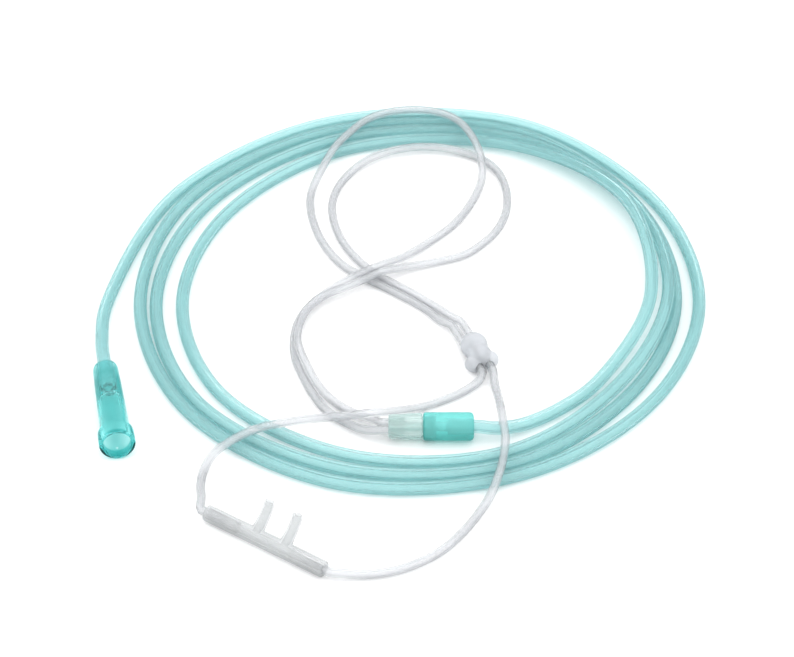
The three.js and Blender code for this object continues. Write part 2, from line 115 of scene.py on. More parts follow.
JUNCTION_Y = 11.4
SLEEVE_RIGHT_X = 43
SLEEVE_LENGTH = 18.5
SLEEVE_OD = 10.5
SLEEVE_SOCKET_DEPTH = 9.5
SLEEVE_PASSAGE = 3.2
SLEEVE_RIM = 0.8
SLEEVE_SIDES = 64
SPIGOT_DIA = 7.4
SPIGOT_LENGTH = 4.5
COLLAR_LENGTH = 12.3
COLLAR_WIDE_DIA = 10.2
COLLAR_NARROW_DIA = 9
COLLAR_RIBS = 10
COLLAR_RIB_HEIGHT = 0.5
COLLAR_SOCKET_DEPTH = 6
COLLAR_GROOVE_FLANK = 1.6  # how steep the sides of the grooves are
COLLAR_CORE = 0.4  # radius of the flat cap in the middle of each end face
COLLAR_SIDES = 120
JUNCTION_LEVEL = SLEEVE_OD / 2

# The supply tube's points from the coil to its end in the sleeve's socket.
SUPPLY_TAIL = (
    (76, 25, FLOOR_LEVEL),
    (61, 15, 3),
    (51, JUNCTION_Y, 4.4),
    (SLEEVE_RIGHT_X + 1.5, JUNCTION_Y, JUNCTION_LEVEL),
    (SLEEVE_RIGHT_X - 3, JUNCTION_Y, JUNCTION_LEVEL),
    (SLEEVE_RIGHT_X - SLEEVE_SOCKET_DEPTH + END_GAP, JUNCTION_Y, JUNCTION_LEVEL),
)

FACE_OD = 3.2
FACE_LUMEN = 0.95
FACE_SIDES = 24
FACE_STEP = 2  # between the rings along the tube
FACE_LEAD = 2.5  # how far a face tube runs straight out of a socket
FACE_PITCH = 4.2
FACE_FLOOR = FACE_OD / 2
OVER_SUPPLY = SUPPLY_OD + END_GAP + FACE_OD / 2
OVER_FACE = FACE_OD + END_GAP + FACE_OD / 2

SLIDER_MIDDLE = (44.8, 55)
SLIDER_HEADING = math.radians(-68)
SLIDER_LEVEL = 3
SLIDER_HEAD_RADIUS = 5.2
SLIDER_HEAD_BACK = 2
SLIDER_LOBE_RADIUS = 3.2
SLIDER_LOBE_AHEAD = 5.4
SLIDER_LOBE_SIDE = 3.5
SLIDER_NECK_RADIUS = 4.6
SLIDER_NECK_AHEAD = 3.4
SLIDER_BORE_LENGTH = 30  # longer than the bead
SLIDER_VOXEL = 0.3
SLIDER_ROUNDS = 12

NASAL_LENGTH = 50.6
NASAL_OD = 6
NASAL_MIDDLE = (-31, -45.5)
NASAL_HEADING = math.radians(-34)
NASAL_SOCKET_DEPTH = 14
NASAL_PASSAGE = 2.8
NASAL_HOLD = 5  # from its mouth to the tube's next point inside
NASAL_STEPS = 100
NASAL_END_ROUND = 0.25  # how much its ends are rounded
NASAL_END_LENGTH = 0.5
NASAL_VOXEL = 0.24
NASAL_ROUNDS = 8
PRONG_PITCH = 12
PRONG_SHIFT = 1.6
PRONG_OD = 4.3
PRONG_BORE = 2.7
PRONG_LINE = ((0, 0), (3, 2.2), (6, 4.5), (8.2, 6.9), (9.4, 9.4))
PRONG_STEP = 0.8
PRONG_FLARE = 0.35  # how much its root is wider
PRONG_FLARE_SHARE = 0.55  # of its length
PRONG_TIP_ROUND = 0.35
PRONG_TIP_LENGTH = 0.7

# The face tubes' points where they run free, from the collar to the slider and on to the end.
NEAR_TUBE_LOOP = (
    (2.5, 12.3, 3),
    (-4, 17.9, FACE_FLOOR),
    (-11, 24.2, FACE_FLOOR),
    (-16.2, 33.4, FACE_FLOOR),
    (-20.2, 43.6, FACE_FLOOR),
    (-23, 52.7, FACE_FLOOR),
    (-24.1, 61.8, FACE_FLOOR),
    (-23.2, 73.3, FACE_FLOOR),
    (-20.8, 80.6, FACE_FLOOR),
    (-17.3, 86.6, 1.8),
    (-12.6, 91.3, 2.6),
    (-6.4, 95.6, 4.2),
    (-0.6, 99.1, OVER_FACE),
    (4.9, 103.1, 5.3),
    (10.3, 106.7, OVER_FACE),
    (16.8, 112.9, 3),
    (28, 124.8, FACE_FLOOR),
    (38, 136.5, FACE_FLOOR),
    (45.5, 151.5, FACE_FLOOR),
    (49.5, 164, 2.8),
    (49.8, 173, OVER_FACE),
    (47.4, 183.5, 7.5),
    (41.4, 196.5, 8.3),
    (34, 204.2, 7.5),
    (24.5, 207.6, OVER_SUPPLY),
    (12.5, 206.3, OVER_SUPPLY),
    (3.3, 201.3, OVER_SUPPLY),
    (-4, 192.3, OVER_SUPPLY),
    (-11, 180.1, OVER_SUPPLY),
    (-16.3, 168.7, 3.6),
    (-19.8, 157, FACE_FLOOR),
    (-19.6, 144, FACE_FLOOR),
    (-14.8, 125, FACE_FLOOR),
    (-6.2, 109.8, FACE_FLOOR),
    (2.5, 102.2, FACE_FLOOR),
    (15.5, 92.2, FACE_FLOOR),
    (26, 83, FACE_FLOOR),
    (31.8, 75.3, 2.2),
)
NEAR_TUBE_TAIL = (
    (45.9, 40.9, 2.2),
    (42, 36.8, FACE_FLOOR),
    (34.5, 31.4, FACE_FLOOR),
    (24.2, 26.3, FACE_FLOOR),
    (15, 19.5, 5.7),
    (6.5, 15.6, 8.2),
    (-2, 16, 6.6),
    (-11.4, 17.7, 4),
    (-19.3, 15.5, 4.8),
    (-27.5, 11.3, OVER_SUPPLY),
    (-36.1, 8.2, OVER_SUPPLY),
    (-44.2, 2.5, OVER_SUPPLY),
    (-50.9, -2.1, 4.5),
    (-54.2, -6.9, FACE_FLOOR),
    (-55.1, -14.7, FACE_FLOOR),
    (-54.5, -22.8, 2.2),
)
FAR_TUBE_LOOP = (
    (7, 17, 3.4),
    (-0.6, 22.5, 1.8),
    (-7.9, 28.8, FACE_FLOOR),
    (-14.3, 36.7, 3),
    (-18.7, 46.2, 4.5),
    (-21.4, 54.2, 4.8),
    (-22.8, 61.2, 4.8),
    (-22.1, 70.2, 4.9),
    (-19.3, 79.2, 4.9),
    (-14.8, 85.4, 4.9),
    (-10.3, 89.1, 5),
    (-5.1, 91.8, OVER_FACE),
    (0.8, 95.9, OVER_FACE),
    (8.8, 101.1, 5.4),
    (16.6, 106.4, 3),
    (30, 112, FACE_FLOOR),
    (41.5, 116.5, FACE_FLOOR),
    (50.5, 125.5, FACE_FLOOR),
    (56.5, 136, FACE_FLOOR),
    (59.6, 150, FACE_FLOOR),
    (58.3, 165.6, FACE_FLOOR),
    (54.1, 175.4, FACE_FLOOR),
    (47, 182.1, FACE_FLOOR),
    (36.5, 185.8, 2.6),
    (25, 186.8, 3),
    (13, 183.9, 3),
    (2.6, 178.1, 2.4),
    (-5.5, 168.4, FACE_FLOOR),
    (-10.1, 156.8, FACE_FLOOR),
    (-11.1, 144.5, FACE_FLOOR),
    (-7.4, 127, FACE_FLOOR),
    (0.3, 112.2, FACE_FLOOR),
    (8, 103.1, FACE_FLOOR),
    (19.5, 93.8, FACE_FLOOR),
    (29.6, 84.4, FACE_FLOOR),
    (36, 77.5, 2.2),
)
FAR_TUBE_TAIL = (
    (51.3, 38.7, 2.6),
    (52.3, 29.2, 4.3),
    (53, 18.4, 7.7),
    (53.5, 10.6, 8.6),
    (54.1, 3.5, 7.6),
    (53.4, -5, OVER_SUPPLY),
    (51.6, -14.4, OVER_SUPPLY),
    (48.2, -22.4, 3),
    (43.9, -30.1, FACE_FLOOR),
    (38.8, -38.7, FACE_FLOOR),
    (32.2, -47.2, FACE_FLOOR),
    (24.7, -53.5, FACE_FLOOR),
    (15, -58.5, FACE_FLOOR),
    (4, -60.7, FACE_FLOOR),
    (-3.2, -60.8, 2.3),
)
STRAIGHT_RUN = (-19, -16, -8, 4, 8.8, 10.8)  # along the slider's axis

CURVE_STEPS = 16  # from each chosen point to the next, before the line is spaced evenly


# Lines
def smooth_line(points, spacing):
    """Points a given distance apart along a curve that passes through the chosen points."""
    pts = [Vector(p) for p in points]
    pts = [2 * pts[0] - pts[1]] + pts + [2 * pts[-1] - pts[-2]]
    fine = []
    for a, b, c, d in zip(pts, pts[1:], pts[2:], pts[3:]):
        first, step, last = ((q - p).length ** 0.5 for p, q in ((a, b), (b, c), (c, d)))
        leave = ((b - a) / first - (c - a) / (first + step) + (c - b) / step) * step
        arrive = ((c - b) / step - (d - b) / (step + last) + (d - c) / last) * step
        for k in range(CURVE_STEPS):
            t = k / CURVE_STEPS
            fine.append(
                b
                + leave * t
                + (3 * (c - b) - 2 * leave - arrive) * t**2
                + (2 * (b - c) + leave + arrive) * t**3
            )
    fine.append(pts[-2])
    walked = [0.0]
    for p, q in zip(fine, fine[1:]):
        walked.append(walked[-1] + (q - p).length)
    count = max(2, round(walked[-1] / spacing))
    line, at = [], 0
    for k in range(count + 1):
        want = walked[-1] * k / count
        while at < len(fine) - 2 and walked[at + 1] < want:
            at += 1
        share = (want - walked[at]) / (walked[at + 1] - walked[at])
        line.append(fine[at].lerp(fine[at + 1], min(1, share)))
    return line


def length_of(line):
    return sum((q - p).length for p, q in zip(line, line[1:]))


connector_tilt = math.asin(
    (CONNECTOR_COLLAR_DIA - CONNECTOR_TUBE_END_DIA) / 2 / CONNECTOR_LENGTH
)
connector_axis = Vector(
    (
        math.cos(CONNECTOR_HEADING) * math.cos(connector_tilt),
        math.sin(CONNECTOR_HEADING) * math.cos(connector_tilt),
        math.sin(connector_tilt),
    )
)
connector_tube_end = Vector((*CONNECTOR_TUBE_END, CONNECTOR_TUBE_END_DIA / 2))


def in_connector(depth):
    return connector_tube_end + connector_axis * depth


def supply_points():
    points = [
        in_connector(CONNECTOR_SOCKET_DEPTH - END_GAP),
        in_connector(CONNECTOR_SOCKET_DEPTH / 2),
        in_connector(0),
        in_connector(-CONNECTOR_LEAD),
        Vector(LEAD_POINT),
    ]
    for radii, lifts in zip(TURN_RADII, TURN_LIFTS):
        for knot, (radius, lift) in enumerate(zip(radii, lifts)):
            angle = math.pi - 2 * math.pi * knot / KNOTS_PER_TURN
            x = COIL_CENTRE[0] + radius * math.cos(angle)
            y = COIL_CENTRE[1] + radius * math.sin(angle)
            points.append(Vector((x, y, FLOOR_LEVEL + lift)))
    points += [Vector(p) for p in SUPPLY_TAIL]
    return points


slider_ahead = Vector((math.cos(SLIDER_HEADING), math.sin(SLIDER_HEADING), 0))
slider_aside = Vector((-math.sin(SLIDER_HEADING), math.cos(SLIDER_HEADING), 0))
nasal_along = Vector((math.cos(NASAL_HEADING), math.sin(NASAL_HEADING), 0))
collar_left_x = SLEEVE_RIGHT_X - SLEEVE_LENGTH - END_GAP - COLLAR_LENGTH


def face_tube_points(side, loop, tail, end):
    """side is -1 for the near tube and 1 for the far one, end -1 for the nasal piece's left end."""
    y = JUNCTION_Y + side * FACE_PITCH / 2
    points = [
        Vector((collar_left_x + depth, y, JUNCTION_LEVEL))
        for depth in (COLLAR_SOCKET_DEPTH - END_GAP, COLLAR_SOCKET_DEPTH / 2, 0, -FACE_LEAD)
    ]
    points += [Vector(p) for p in loop]
    middle = Vector((*SLIDER_MIDDLE, SLIDER_LEVEL))
    for along in STRAIGHT_RUN:
        points.append(
            middle + slider_ahead * along + slider_aside * (side * FACE_PITCH / 2)
        )
    points += [Vector(p) for p in tail]
    mouth = NASAL_LENGTH / 2
    middle = Vector((*NASAL_MIDDLE, NASAL_OD / 2))
    tube_end = mouth - NASAL_SOCKET_DEPTH + END_GAP
    for along in (mouth + FACE_LEAD, mouth, mouth - NASAL_HOLD, tube_end):
        points.append(middle + nasal_along * (end * along))
    return points


# Meshes
INNER_TINT = 0.1  # the share of the tint that the inner walls add
LUMEN_TINT = 0.75  # the share that a tube's lumen adds
RIM_TINT = 1.7  # and the share that the thick rims add
RIM_DEPTH = 0.9  # how dark the deep colour gets in a thick rim


def new_object(name, mesh):
    for polygon in mesh.polygons:
        polygon.use_smooth = True
    obj = bpy.data.objects.new(name, mesh)
    bpy.context.scene.collection.objects.link(obj)
    return obj


def skin(name, rings, loop_back=True, place=None, depths=None):
    """A closed mesh over rings of points in millimetres: the last ring joins the first, or both
    are closed with caps. depths gives each ring its share of the plastic's tint."""
    sides = len(rings[0])
    verts = [p * MM for ring in rings for p in ring]
    faces = []
    count = len(rings)
    for k in range(count if loop_back else count - 1):
        a, b = k * sides, (k + 1) % count * sides
        for i in range(sides):
            j = (i + 1) % sides
            faces.append((a + i, a + j, b + j, b + i))
    if not loop_back:
        faces.append(tuple(range(sides))[::-1])
        faces.append(tuple((count - 1) * sides + i for i in range(sides)))
    mesh = bpy.data.meshes.new(name)
    mesh.from_pydata(verts, [], faces)
    if place is not None:
        mesh.transform(place)
    box = bmesh.new()
    box.from_mesh(mesh)
    bmesh.ops.recalc_face_normals(box, faces=box.faces)
    box.to_mesh(mesh)
    box.free()
    if depths:
        tint = mesh.attributes.new("tint", "FLOAT", "POINT")
        tint.data.foreach_set("value", [d for d in depths for _ in range(sides)])
    return new_object(name, mesh)


def frames_along(line):
    """At each point, two directions across the line that turn as little as they can."""
    across = Vector((0, 0, 1))
    pairs = []
    for k in range(len(line)):
        ahead = (line[min(k + 1, len(line) - 1)] - line[max(k - 1, 0)]).normalized()
        across = (across - ahead * across.dot(ahead)).normalized()
        pairs.append((across, ahead.cross(across)))
    return pairs


def rings_along(line, radius_at, sides):
    rings = []
    walked = 0.0
    for k, (p, (u, v)) in enumerate(zip(line, frames_along(line))):
        if k:
            walked += (p - line[k - 1]).length
        ring = []
        for i in range(sides):
            angle = 2 * math.pi * i / sides
            r = radius_at(walked, angle)
            ring.append(p + u * (r * math.cos(angle)) + v * (r * math.sin(angle)))
        rings.append(ring)
    return rings


def hollow_tube(name, line, outer, lumen_at, sides, hidden):
    """A tube whose tint fades over the length that is hidden in a socket at each end."""
    outside = rings_along(line, lambda s, a: outer, sides)
    inside = rings_along(line, lumen_at, sides)
    step = length_of(line) / (len(line) - 1)
    in_socket = [min(k, len(line) - 1 - k) * step < hidden - step for k in range(len(line))]
    depths = [INNER_TINT if within else 1.0 for within in in_socket]
    depths += [INNER_TINT if within else LUMEN_TINT for within in in_socket[::-1]]
    return skin(name, outside + inside[::-1], depths=depths)


def rod(name, line, radius_at, sides):
    return skin(name, rings_along(line, radius_at, sides), loop_back=False)


def ring_about_x(along, radius, sides, swell=None):
    """A ring of points about the X axis. swell adds to the radius."""
    ring = []
    for i in range(sides):
        angle = 2 * math.pi * i / sides
        r = radius + (swell(along, radius, angle) if swell else 0)
        ring.append(Vector((along, r * math.cos(angle), r * math.sin(angle))))
    return ring


def turned(name, profile, sides, place, swell=None):
    """A closed profile of (along, radius, tint) turned about the X axis."""
    rings = [ring_about_x(along, radius, sides, swell) for along, radius, _ in profile]
    return skin(name, rings, place=place, depths=[tint for _, _, tint in profile])


def placed(x_axis, origin):
    """The matrix that carries a piece made along X to its place, in metres."""
    x = x_axis.normalized()
    y = Vector((0, 0, 1)).cross(x).normalized()
    z = x.cross(y)
    turn = Matrix((x, y, z)).transposed().to_4x4()
    return Matrix.Translation(Vector(origin) * MM) @ turn


def settled(obj):
    """The object with its modifiers worked into its mesh."""
    graph = bpy.context.evaluated_depsgraph_get()
    graph.update()
    mesh = bpy.data.meshes.new_from_object(obj.evaluated_get(graph))
    old = obj.data
    obj.modifiers.clear()
    obj.data = mesh
    bpy.data.meshes.remove(old)
    for polygon in mesh.polygons:
        polygon.use_smooth = True
    return obj


def blended(name, parts, voxel, rounds):
    """Closed meshes grown together into one soft shape."""
    box = bmesh.new()
    for part in parts:
        box.from_mesh(part.data)
        bpy.data.objects.remove(part)
    mesh = bpy.data.meshes.new(name)
    box.to_mesh(mesh)
    box.free()
    obj = new_object(name, mesh)
    remesh = obj.modifiers.new("remesh", "REMESH")
    remesh.mode = "VOXEL"
    remesh.voxel_size = voxel * MM
    soften = obj.modifiers.new("soften", "SMOOTH")
    soften.factor = 0.5
    soften.iterations = rounds
    return settled(obj)


def cut(obj, *tools):
    for tool in tools:
        boolean = obj.modifiers.new("cut", "BOOLEAN")
        boolean.operation = "DIFFERENCE"
        boolean.solver = "EXACT"
        boolean.object = tool
    settled(obj)
    for tool in tools:
        bpy.data.objects.remove(tool)
    return obj


# The tubes
supply_line = smooth_line(supply_points(), SUPPLY_STEP)
supply_line.reverse()
near_points = face_tube_points(-1, NEAR_TUBE_LOOP, NEAR_TUBE_TAIL, -1)
near_line = smooth_line(near_points, FACE_STEP)
far_points = face_tube_points(1, FAR_TUBE_LOOP, FAR_TUBE_TAIL, 1)
far_line = smooth_line(far_points, FACE_STEP)


def star_lumen(walked, angle):
    return SUPPLY_LUMEN + SUPPLY_LOBE * math.cos(SUPPLY_LOBES * angle)


def round_lumen(walked, angle):
    return FACE_LUMEN


supply_tube = hollow_tube(
    "supply_tube",
    supply_line,
    SUPPLY_OD / 2,
    star_lumen,
    SUPPLY_SIDES,
    SLEEVE_SOCKET_DEPTH,
)
near_tube, far_tube = (
    hollow_tube(name, line, FACE_OD / 2, round_lumen, FACE_SIDES, COLLAR_SOCKET_DEPTH)
    for name, line in (("near_face_tube", near_line), ("far_face_tube", far_line))
)

# The connector
connector_neck = CONNECTOR_SOCKET_DEPTH + CONNECTOR_PASSAGE_LENGTH
collar_start = CONNECTOR_LENGTH - CONNECTOR_COLLAR_LENGTH
connector_socket = SUPPLY_OD / 2 + FIT_GAP
CONNECTOR_PROFILE = (
    (0, connector_socket, INNER_TINT),
    (0, CONNECTOR_TUBE_END_DIA / 2 - 1.6, 1),
    (0.3, CONNECTOR_TUBE_END_DIA / 2 - 0.8, 1),
    (1.0, CONNECTOR_TUBE_END_DIA / 2 - 0.25, 1),
    (CONNECTOR_SHOULDER, CONNECTOR_TUBE_END_DIA / 2, 1),
    (10, CONNECTOR_TUBE_END_DIA / 2 + 0.15, 1),
    (24, CONNECTOR_TUBE_END_DIA / 2 + 0.4, 1),
    (collar_start - 0.9, CONNECTOR_BODY_DIA / 2, 1),
    (collar_start - 0.5, CONNECTOR_BODY_DIA / 2 + 0.15, 1),
    (collar_start, CONNECTOR_COLLAR_DIA / 2 - 0.35, 1),
    (collar_start + 0.5, CONNECTOR_COLLAR_DIA / 2 - 0.05, 1),
    (collar_start + 1, CONNECTOR_COLLAR_DIA / 2, 1),
    (CONNECTOR_LENGTH - 0.5, CONNECTOR_COLLAR_DIA / 2, 1),
    (CONNECTOR_LENGTH, CONNECTOR_COLLAR_DIA / 2 - 0.4, RIM_TINT),
    (CONNECTOR_LENGTH, CONNECTOR_MOUTH_BORE / 2 + 0.3, RIM_TINT),
    (CONNECTOR_LENGTH - 0.4, CONNECTOR_MOUTH_BORE / 2, RIM_TINT),
    (CONNECTOR_LENGTH - 2.6, CONNECTOR_MOUTH_BORE / 2 - 0.2, 1.4),
    (CONNECTOR_LENGTH - 3.4, CONNECTOR_MOUTH_BORE / 2 - 0.25, INNER_TINT),
    (collar_start, CONNECTOR_MOUTH_BORE / 2 - 0.5, INNER_TINT),
    (collar_start - 8, CONNECTOR_NECK_BORE / 2 + 0.45, INNER_TINT),
    (connector_neck + 8, CONNECTOR_NECK_BORE / 2 + 0.2, INNER_TINT),
    (connector_neck + 2, CONNECTOR_NECK_BORE / 2, INNER_TINT),
    (connector_neck, CONNECTOR_NECK_BORE / 2 - 0.6, INNER_TINT),
    (connector_neck, CONNECTOR_PASSAGE / 2, INNER_TINT),
    (CONNECTOR_SOCKET_DEPTH, CONNECTOR_PASSAGE / 2, INNER_TINT),
    (CONNECTOR_SOCKET_DEPTH, connector_socket, INNER_TINT),
)


def connector_ribs(along, radius, angle):
    """Low ribs along the deeper half of the bore."""
    in_reach = connector_neck < along < collar_start - BORE_RIB_STOP
    if not in_reach or radius > BORE_RIB_RADIUS:
        return 0
    return -BORE_RIB_HEIGHT * max(0, math.cos(BORE_RIBS * angle)) ** 3


connector = turned(
    "connector",
    CONNECTOR_PROFILE,
    CONNECTOR_SIDES,
    placed(connector_axis, connector_tube_end),
    connector_ribs,
)

# The junction
sleeve_place = placed(
    Vector((1, 0, 0)), (SLEEVE_RIGHT_X - SLEEVE_LENGTH, JUNCTION_Y, JUNCTION_LEVEL)
)
spigot_socket = SPIGOT_DIA / 2 + FIT_GAP
spigot_depth = SPIGOT_LENGTH + END_GAP
sleeve_socket_end = SLEEVE_LENGTH - SLEEVE_SOCKET_DEPTH
SLEEVE_PROFILE = (
    (0, spigot_socket, INNER_TINT),
    (0, SLEEVE_OD / 2 - SLEEVE_RIM, RIM_TINT),
    (0.25, SLEEVE_OD / 2 - 0.25, RIM_TINT),
    (SLEEVE_RIM, SLEEVE_OD / 2, 1),
    (SLEEVE_LENGTH - 1.6, SLEEVE_OD / 2, 1),
    (SLEEVE_LENGTH - 0.9, SLEEVE_OD / 2 - 0.15, 1),
    (SLEEVE_LENGTH - 0.3, SLEEVE_OD / 2 - 0.6, 1),
    (SLEEVE_LENGTH, SLEEVE_OD / 2 - 1.4, 1),
    (SLEEVE_LENGTH, connector_socket, INNER_TINT),
    (sleeve_socket_end, connector_socket, INNER_TINT),
    (sleeve_socket_end, SLEEVE_PASSAGE / 2, INNER_TINT),
    (spigot_depth, SLEEVE_PASSAGE / 2, INNER_TINT),
    (spigot_depth, spigot_socket, INNER_TINT),
)
sleeve = turned("sleeve", SLEEVE_PROFILE, SLEEVE_SIDES, sleeve_place)

collar_place = placed(Vector((1, 0, 0)), (collar_left_x, JUNCTION_Y, JUNCTION_LEVEL))


def collar_ribs(along, radius, angle):
    if radius < COLLAR_NARROW_DIA / 2 - 0.5 or along > COLLAR_LENGTH:
        return 0
    groove = 0.5 - 0.5 * math.cos(COLLAR_RIBS * angle)
    return -COLLAR_RIB_HEIGHT * min(1, COLLAR_GROOVE_FLANK * groove)


def make_collar():
    narrow, wide = COLLAR_NARROW_DIA / 2, COLLAR_WIDE_DIA / 2
    profile = [
        (0, COLLAR_CORE),
        (0, narrow - 0.55),
        (0.35, narrow - 0.1),
        (0.9, narrow),
        (COLLAR_LENGTH / 2, (narrow + wide) / 2),
        (COLLAR_LENGTH - 0.8, wide),
        (COLLAR_LENGTH, wide - 0.4),
        (COLLAR_LENGTH, SPIGOT_DIA / 2),
        (COLLAR_LENGTH + SPIGOT_LENGTH, SPIGOT_DIA / 2 - 0.1),
        (COLLAR_LENGTH + SPIGOT_LENGTH, COLLAR_CORE),
    ]
    rings = [
        ring_about_x(along, radius, COLLAR_SIDES, collar_ribs) for along, radius in profile
    ]
    body = skin("collar", rings, loop_back=False, place=collar_place)
    tools = []
    for side in (-1, 1):
        y = side * FACE_PITCH / 2
        line = [Vector((-1, y, 0)), Vector((COLLAR_SOCKET_DEPTH, y, 0))]
        tool = rod("socket", line, lambda s, a: FACE_OD / 2 + FIT_GAP, 32)
        tool.data.transform(collar_place)
        tools.append(tool)
    line = [
        Vector((COLLAR_SOCKET_DEPTH - 1, 0, 0)),
        Vector((COLLAR_LENGTH + SPIGOT_LENGTH + 1, 0, 0)),
    ]
    chamber = rod("chamber", line, lambda s, a: SLEEVE_PASSAGE / 2, 32)
    chamber.data.transform(collar_place)
    return cut(body, *tools, chamber)


collar = make_collar()


# The slider bead
def ball(name, radius, x, y):
    """A ball that touches the floor."""
    mesh = bpy.data.meshes.new(name)
    box = bmesh.new()
    bmesh.ops.create_uvsphere(box, u_segments=32, v_segments=20, radius=radius * MM)
    bmesh.ops.translate(box, verts=box.verts, vec=Vector((x, y, radius)) * MM)
    box.to_mesh(mesh)
    box.free()
    return new_object(name, mesh)


def make_slider():
    parts = [ball("head", SLIDER_HEAD_RADIUS, -SLIDER_HEAD_BACK, 0)]
    for side in (-1, 1):
        y = side * SLIDER_LOBE_SIDE
        parts.append(ball("lobe", SLIDER_LOBE_RADIUS, SLIDER_LOBE_AHEAD, y))
    parts.append(ball("neck", SLIDER_NECK_RADIUS, SLIDER_NECK_AHEAD, 0))
    bead = blended("slider_bead", parts, SLIDER_VOXEL, SLIDER_ROUNDS)
    reach = SLIDER_BORE_LENGTH / 2
    tools = []
    for side in (-1, 1):
        y = side * FACE_PITCH / 2
        line = [Vector((-reach, y, SLIDER_LEVEL)), Vector((reach, y, SLIDER_LEVEL))]
        tools.append(rod("bore", line, lambda s, a: FACE_OD / 2 + FIT_GAP, 28))
    cut(bead, *tools)
    bead.data.transform(placed(slider_ahead, (*SLIDER_MIDDLE, 0)))
    return bead


slider = make_slider()


# The nasal piece
def prong_line(side, past_tip=0.0):
    x = PRONG_SHIFT + side * PRONG_PITCH / 2
    line = smooth_line([(x, back, up) for back, up in PRONG_LINE], PRONG_STEP)
    if past_tip:
        line.append(line[-1] + (line[-1] - line[-2]).normalized() * past_tip)
    return line


def make_nasal_piece():
    half = NASAL_LENGTH / 2

    def body_radius(walked, angle):
        from_end = min(walked, NASAL_LENGTH - walked)
        return NASAL_OD / 2 - NASAL_END_ROUND * max(0, 1 - from_end / NASAL_END_LENGTH)

    body_line = [
        Vector((-half + NASAL_LENGTH * k / NASAL_STEPS, 0, 0))
        for k in range(NASAL_STEPS + 1)
    ]
    parts = [rod("body", body_line, body_radius, 36)]
    for side in (-1, 1):
        line = prong_line(side)
        full = length_of(line)

        def prong_radius(walked, angle):
            flare = PRONG_FLARE * max(0, 1 - walked / (PRONG_FLARE_SHARE * full))
            tip = PRONG_TIP_ROUND * max(0, 1 - (full - walked) / PRONG_TIP_LENGTH)
            return PRONG_OD / 2 - 0.1 + flare - tip

        parts.append(rod("prong", line, prong_radius, 32))
    piece = blended("nasal_piece", parts, NASAL_VOXEL, NASAL_ROUNDS)
    socket = FACE_OD / 2 + FIT_GAP
    passage = NASAL_PASSAGE / 2
    depth = NASAL_SOCKET_DEPTH
    rings = []
    for along, radius in (
        (-half - 1, socket),
        (-half + depth, socket),
        (-half + depth + 0.6, passage),
        (half - depth - 0.6, passage),
        (half - depth, socket),
        (half + 1, socket),
    ):
        rings.append(ring_about_x(along, radius, 32))
    tools = [skin("passage", rings, loop_back=False)]
    for side in (-1, 1):
        line = prong_line(side, 1.0)
        tools.append(rod("prong_bore", line, lambda s, a: PRONG_BORE / 2, 24))
    cut(piece, *tools)
    piece.data.transform(placed(nasal_along, (*NASAL_MIDDLE, NASAL_OD / 2)))
    return piece


nasal_piece = make_nasal_piece()


# Materials
class Value:
    """A socket of a material that can be used in sums."""

    def __init__(self, maker, socket):
        self.maker, self.socket = maker, socket

    def _math(self, operation, a, b):
        return self.maker.node("ShaderNodeMath", {"operation": operation}, {0: a, 1: b})

    def __add__(self, other):
        return self._math("ADD", self, other)

    def __radd__(self, other):
        return self._math("ADD", other, self)

    def __sub__(self, other):
        return self._math("SUBTRACT", self, other)

    def __rsub__(self, other):
        return self._math("SUBTRACT", other, self)

    def __mul__(self, other):
        return self._math("MULTIPLY", self, other)

    def __rmul__(self, other):
        return self._math("MULTIPLY", other, self)

    def __pow__(self, other):
        return self._math("POWER", self, other)

    def __rpow__(self, other):
        return self._math("POWER", other, self)


class Maker:
    """Builds the nodes of one material, or of the world."""

    def __init__(self, owner, output="ShaderNodeOutputMaterial"):
        self.owner = owner
        owner.use_nodes = True
        self.tree = owner.node_tree
        self.tree.nodes.clear()
        self.output = self.tree.nodes.new(output)

    def node(self, kind, settings=None, values=None, out=0):
        made = self.tree.nodes.new(kind)
        for key, value in (settings or {}).items():
            setattr(made, key, value)
        for key, value in (values or {}).items():
            if isinstance(value, Value):
                self.tree.links.new(value.socket, made.inputs[key])
            else:
                made.inputs[key].default_value = value
        return Value(self, made.outputs[out])

    def mix(self, share, low, high):
        """One colour turning into another."""
        values = {0: share, 6: low, 7: high}
        return self.node("ShaderNodeMix", {"data_type": "RGBA"}, values, out=2)

    def finish(self, shader):
        self.tree.links.new(shader.socket, self.output.inputs["Surface"])
        return self.owner


CLEAR_IOR = 1.1  # low, so that tubes seen through each other stay smooth
FROSTED_IOR = 1.15
GLOSS_ROUGHNESS = 0.1


def clear_plastic(
    name, pale, deep_tint_and_edge_shade, roughness, transmission, edge_shade_power=3.0, gloss=0.0, ior=CLEAR_IOR, by_wall=True
):
    """Clear or hazy plastic with painted shade towards its edges: its colour turns deep where the
    surface turns away from the camera, standing in for the dark edge lines that refraction and the
    longer path through the wall make.
    by_wall takes the tint's share from the mesh. gloss is the share of its shiny skin."""
    m = Maker(bpy.data.materials.new(name))
    facing = m.node("ShaderNodeLayerWeight", values={"Blend": 0.5}, out=1)
    # Painted shade: the colour turns deep towards the edges as seen from the camera.
    colour = m.mix(facing**edge_shade_power, (*pale, 1), (*deep_tint_and_edge_shade, 1))
    if by_wall:
        tint = m.node("ShaderNodeAttribute", {"attribute_name": "tint"}, out=2)
        clear = m.node("ShaderNodeMath", {"operation": "MINIMUM"}, {0: tint, 1: 1.0})
        rim = m.node("ShaderNodeMath", {"operation": "MAXIMUM"}, {0: tint - 1.0, 1: 0.0})
        colour = m.mix(clear, (1, 1, 1, 1), colour)
        colour = m.mix(rim, colour, (*(RIM_DEPTH * c for c in deep_tint_and_edge_shade), 1))
    shader = m.node(
        "ShaderNodeBsdfPrincipled",
        values={
            "Base Color": colour,
            "Roughness": roughness,
            "IOR": ior,
            "Transmission Weight": transmission,
            "Coat Weight": gloss,
            "Coat Roughness": GLOSS_ROUGHNESS,
        },
    )
    return m.finish(shader)


def paint(obj, material):
    obj.data.materials.clear()
    obj.data.materials.append(material)
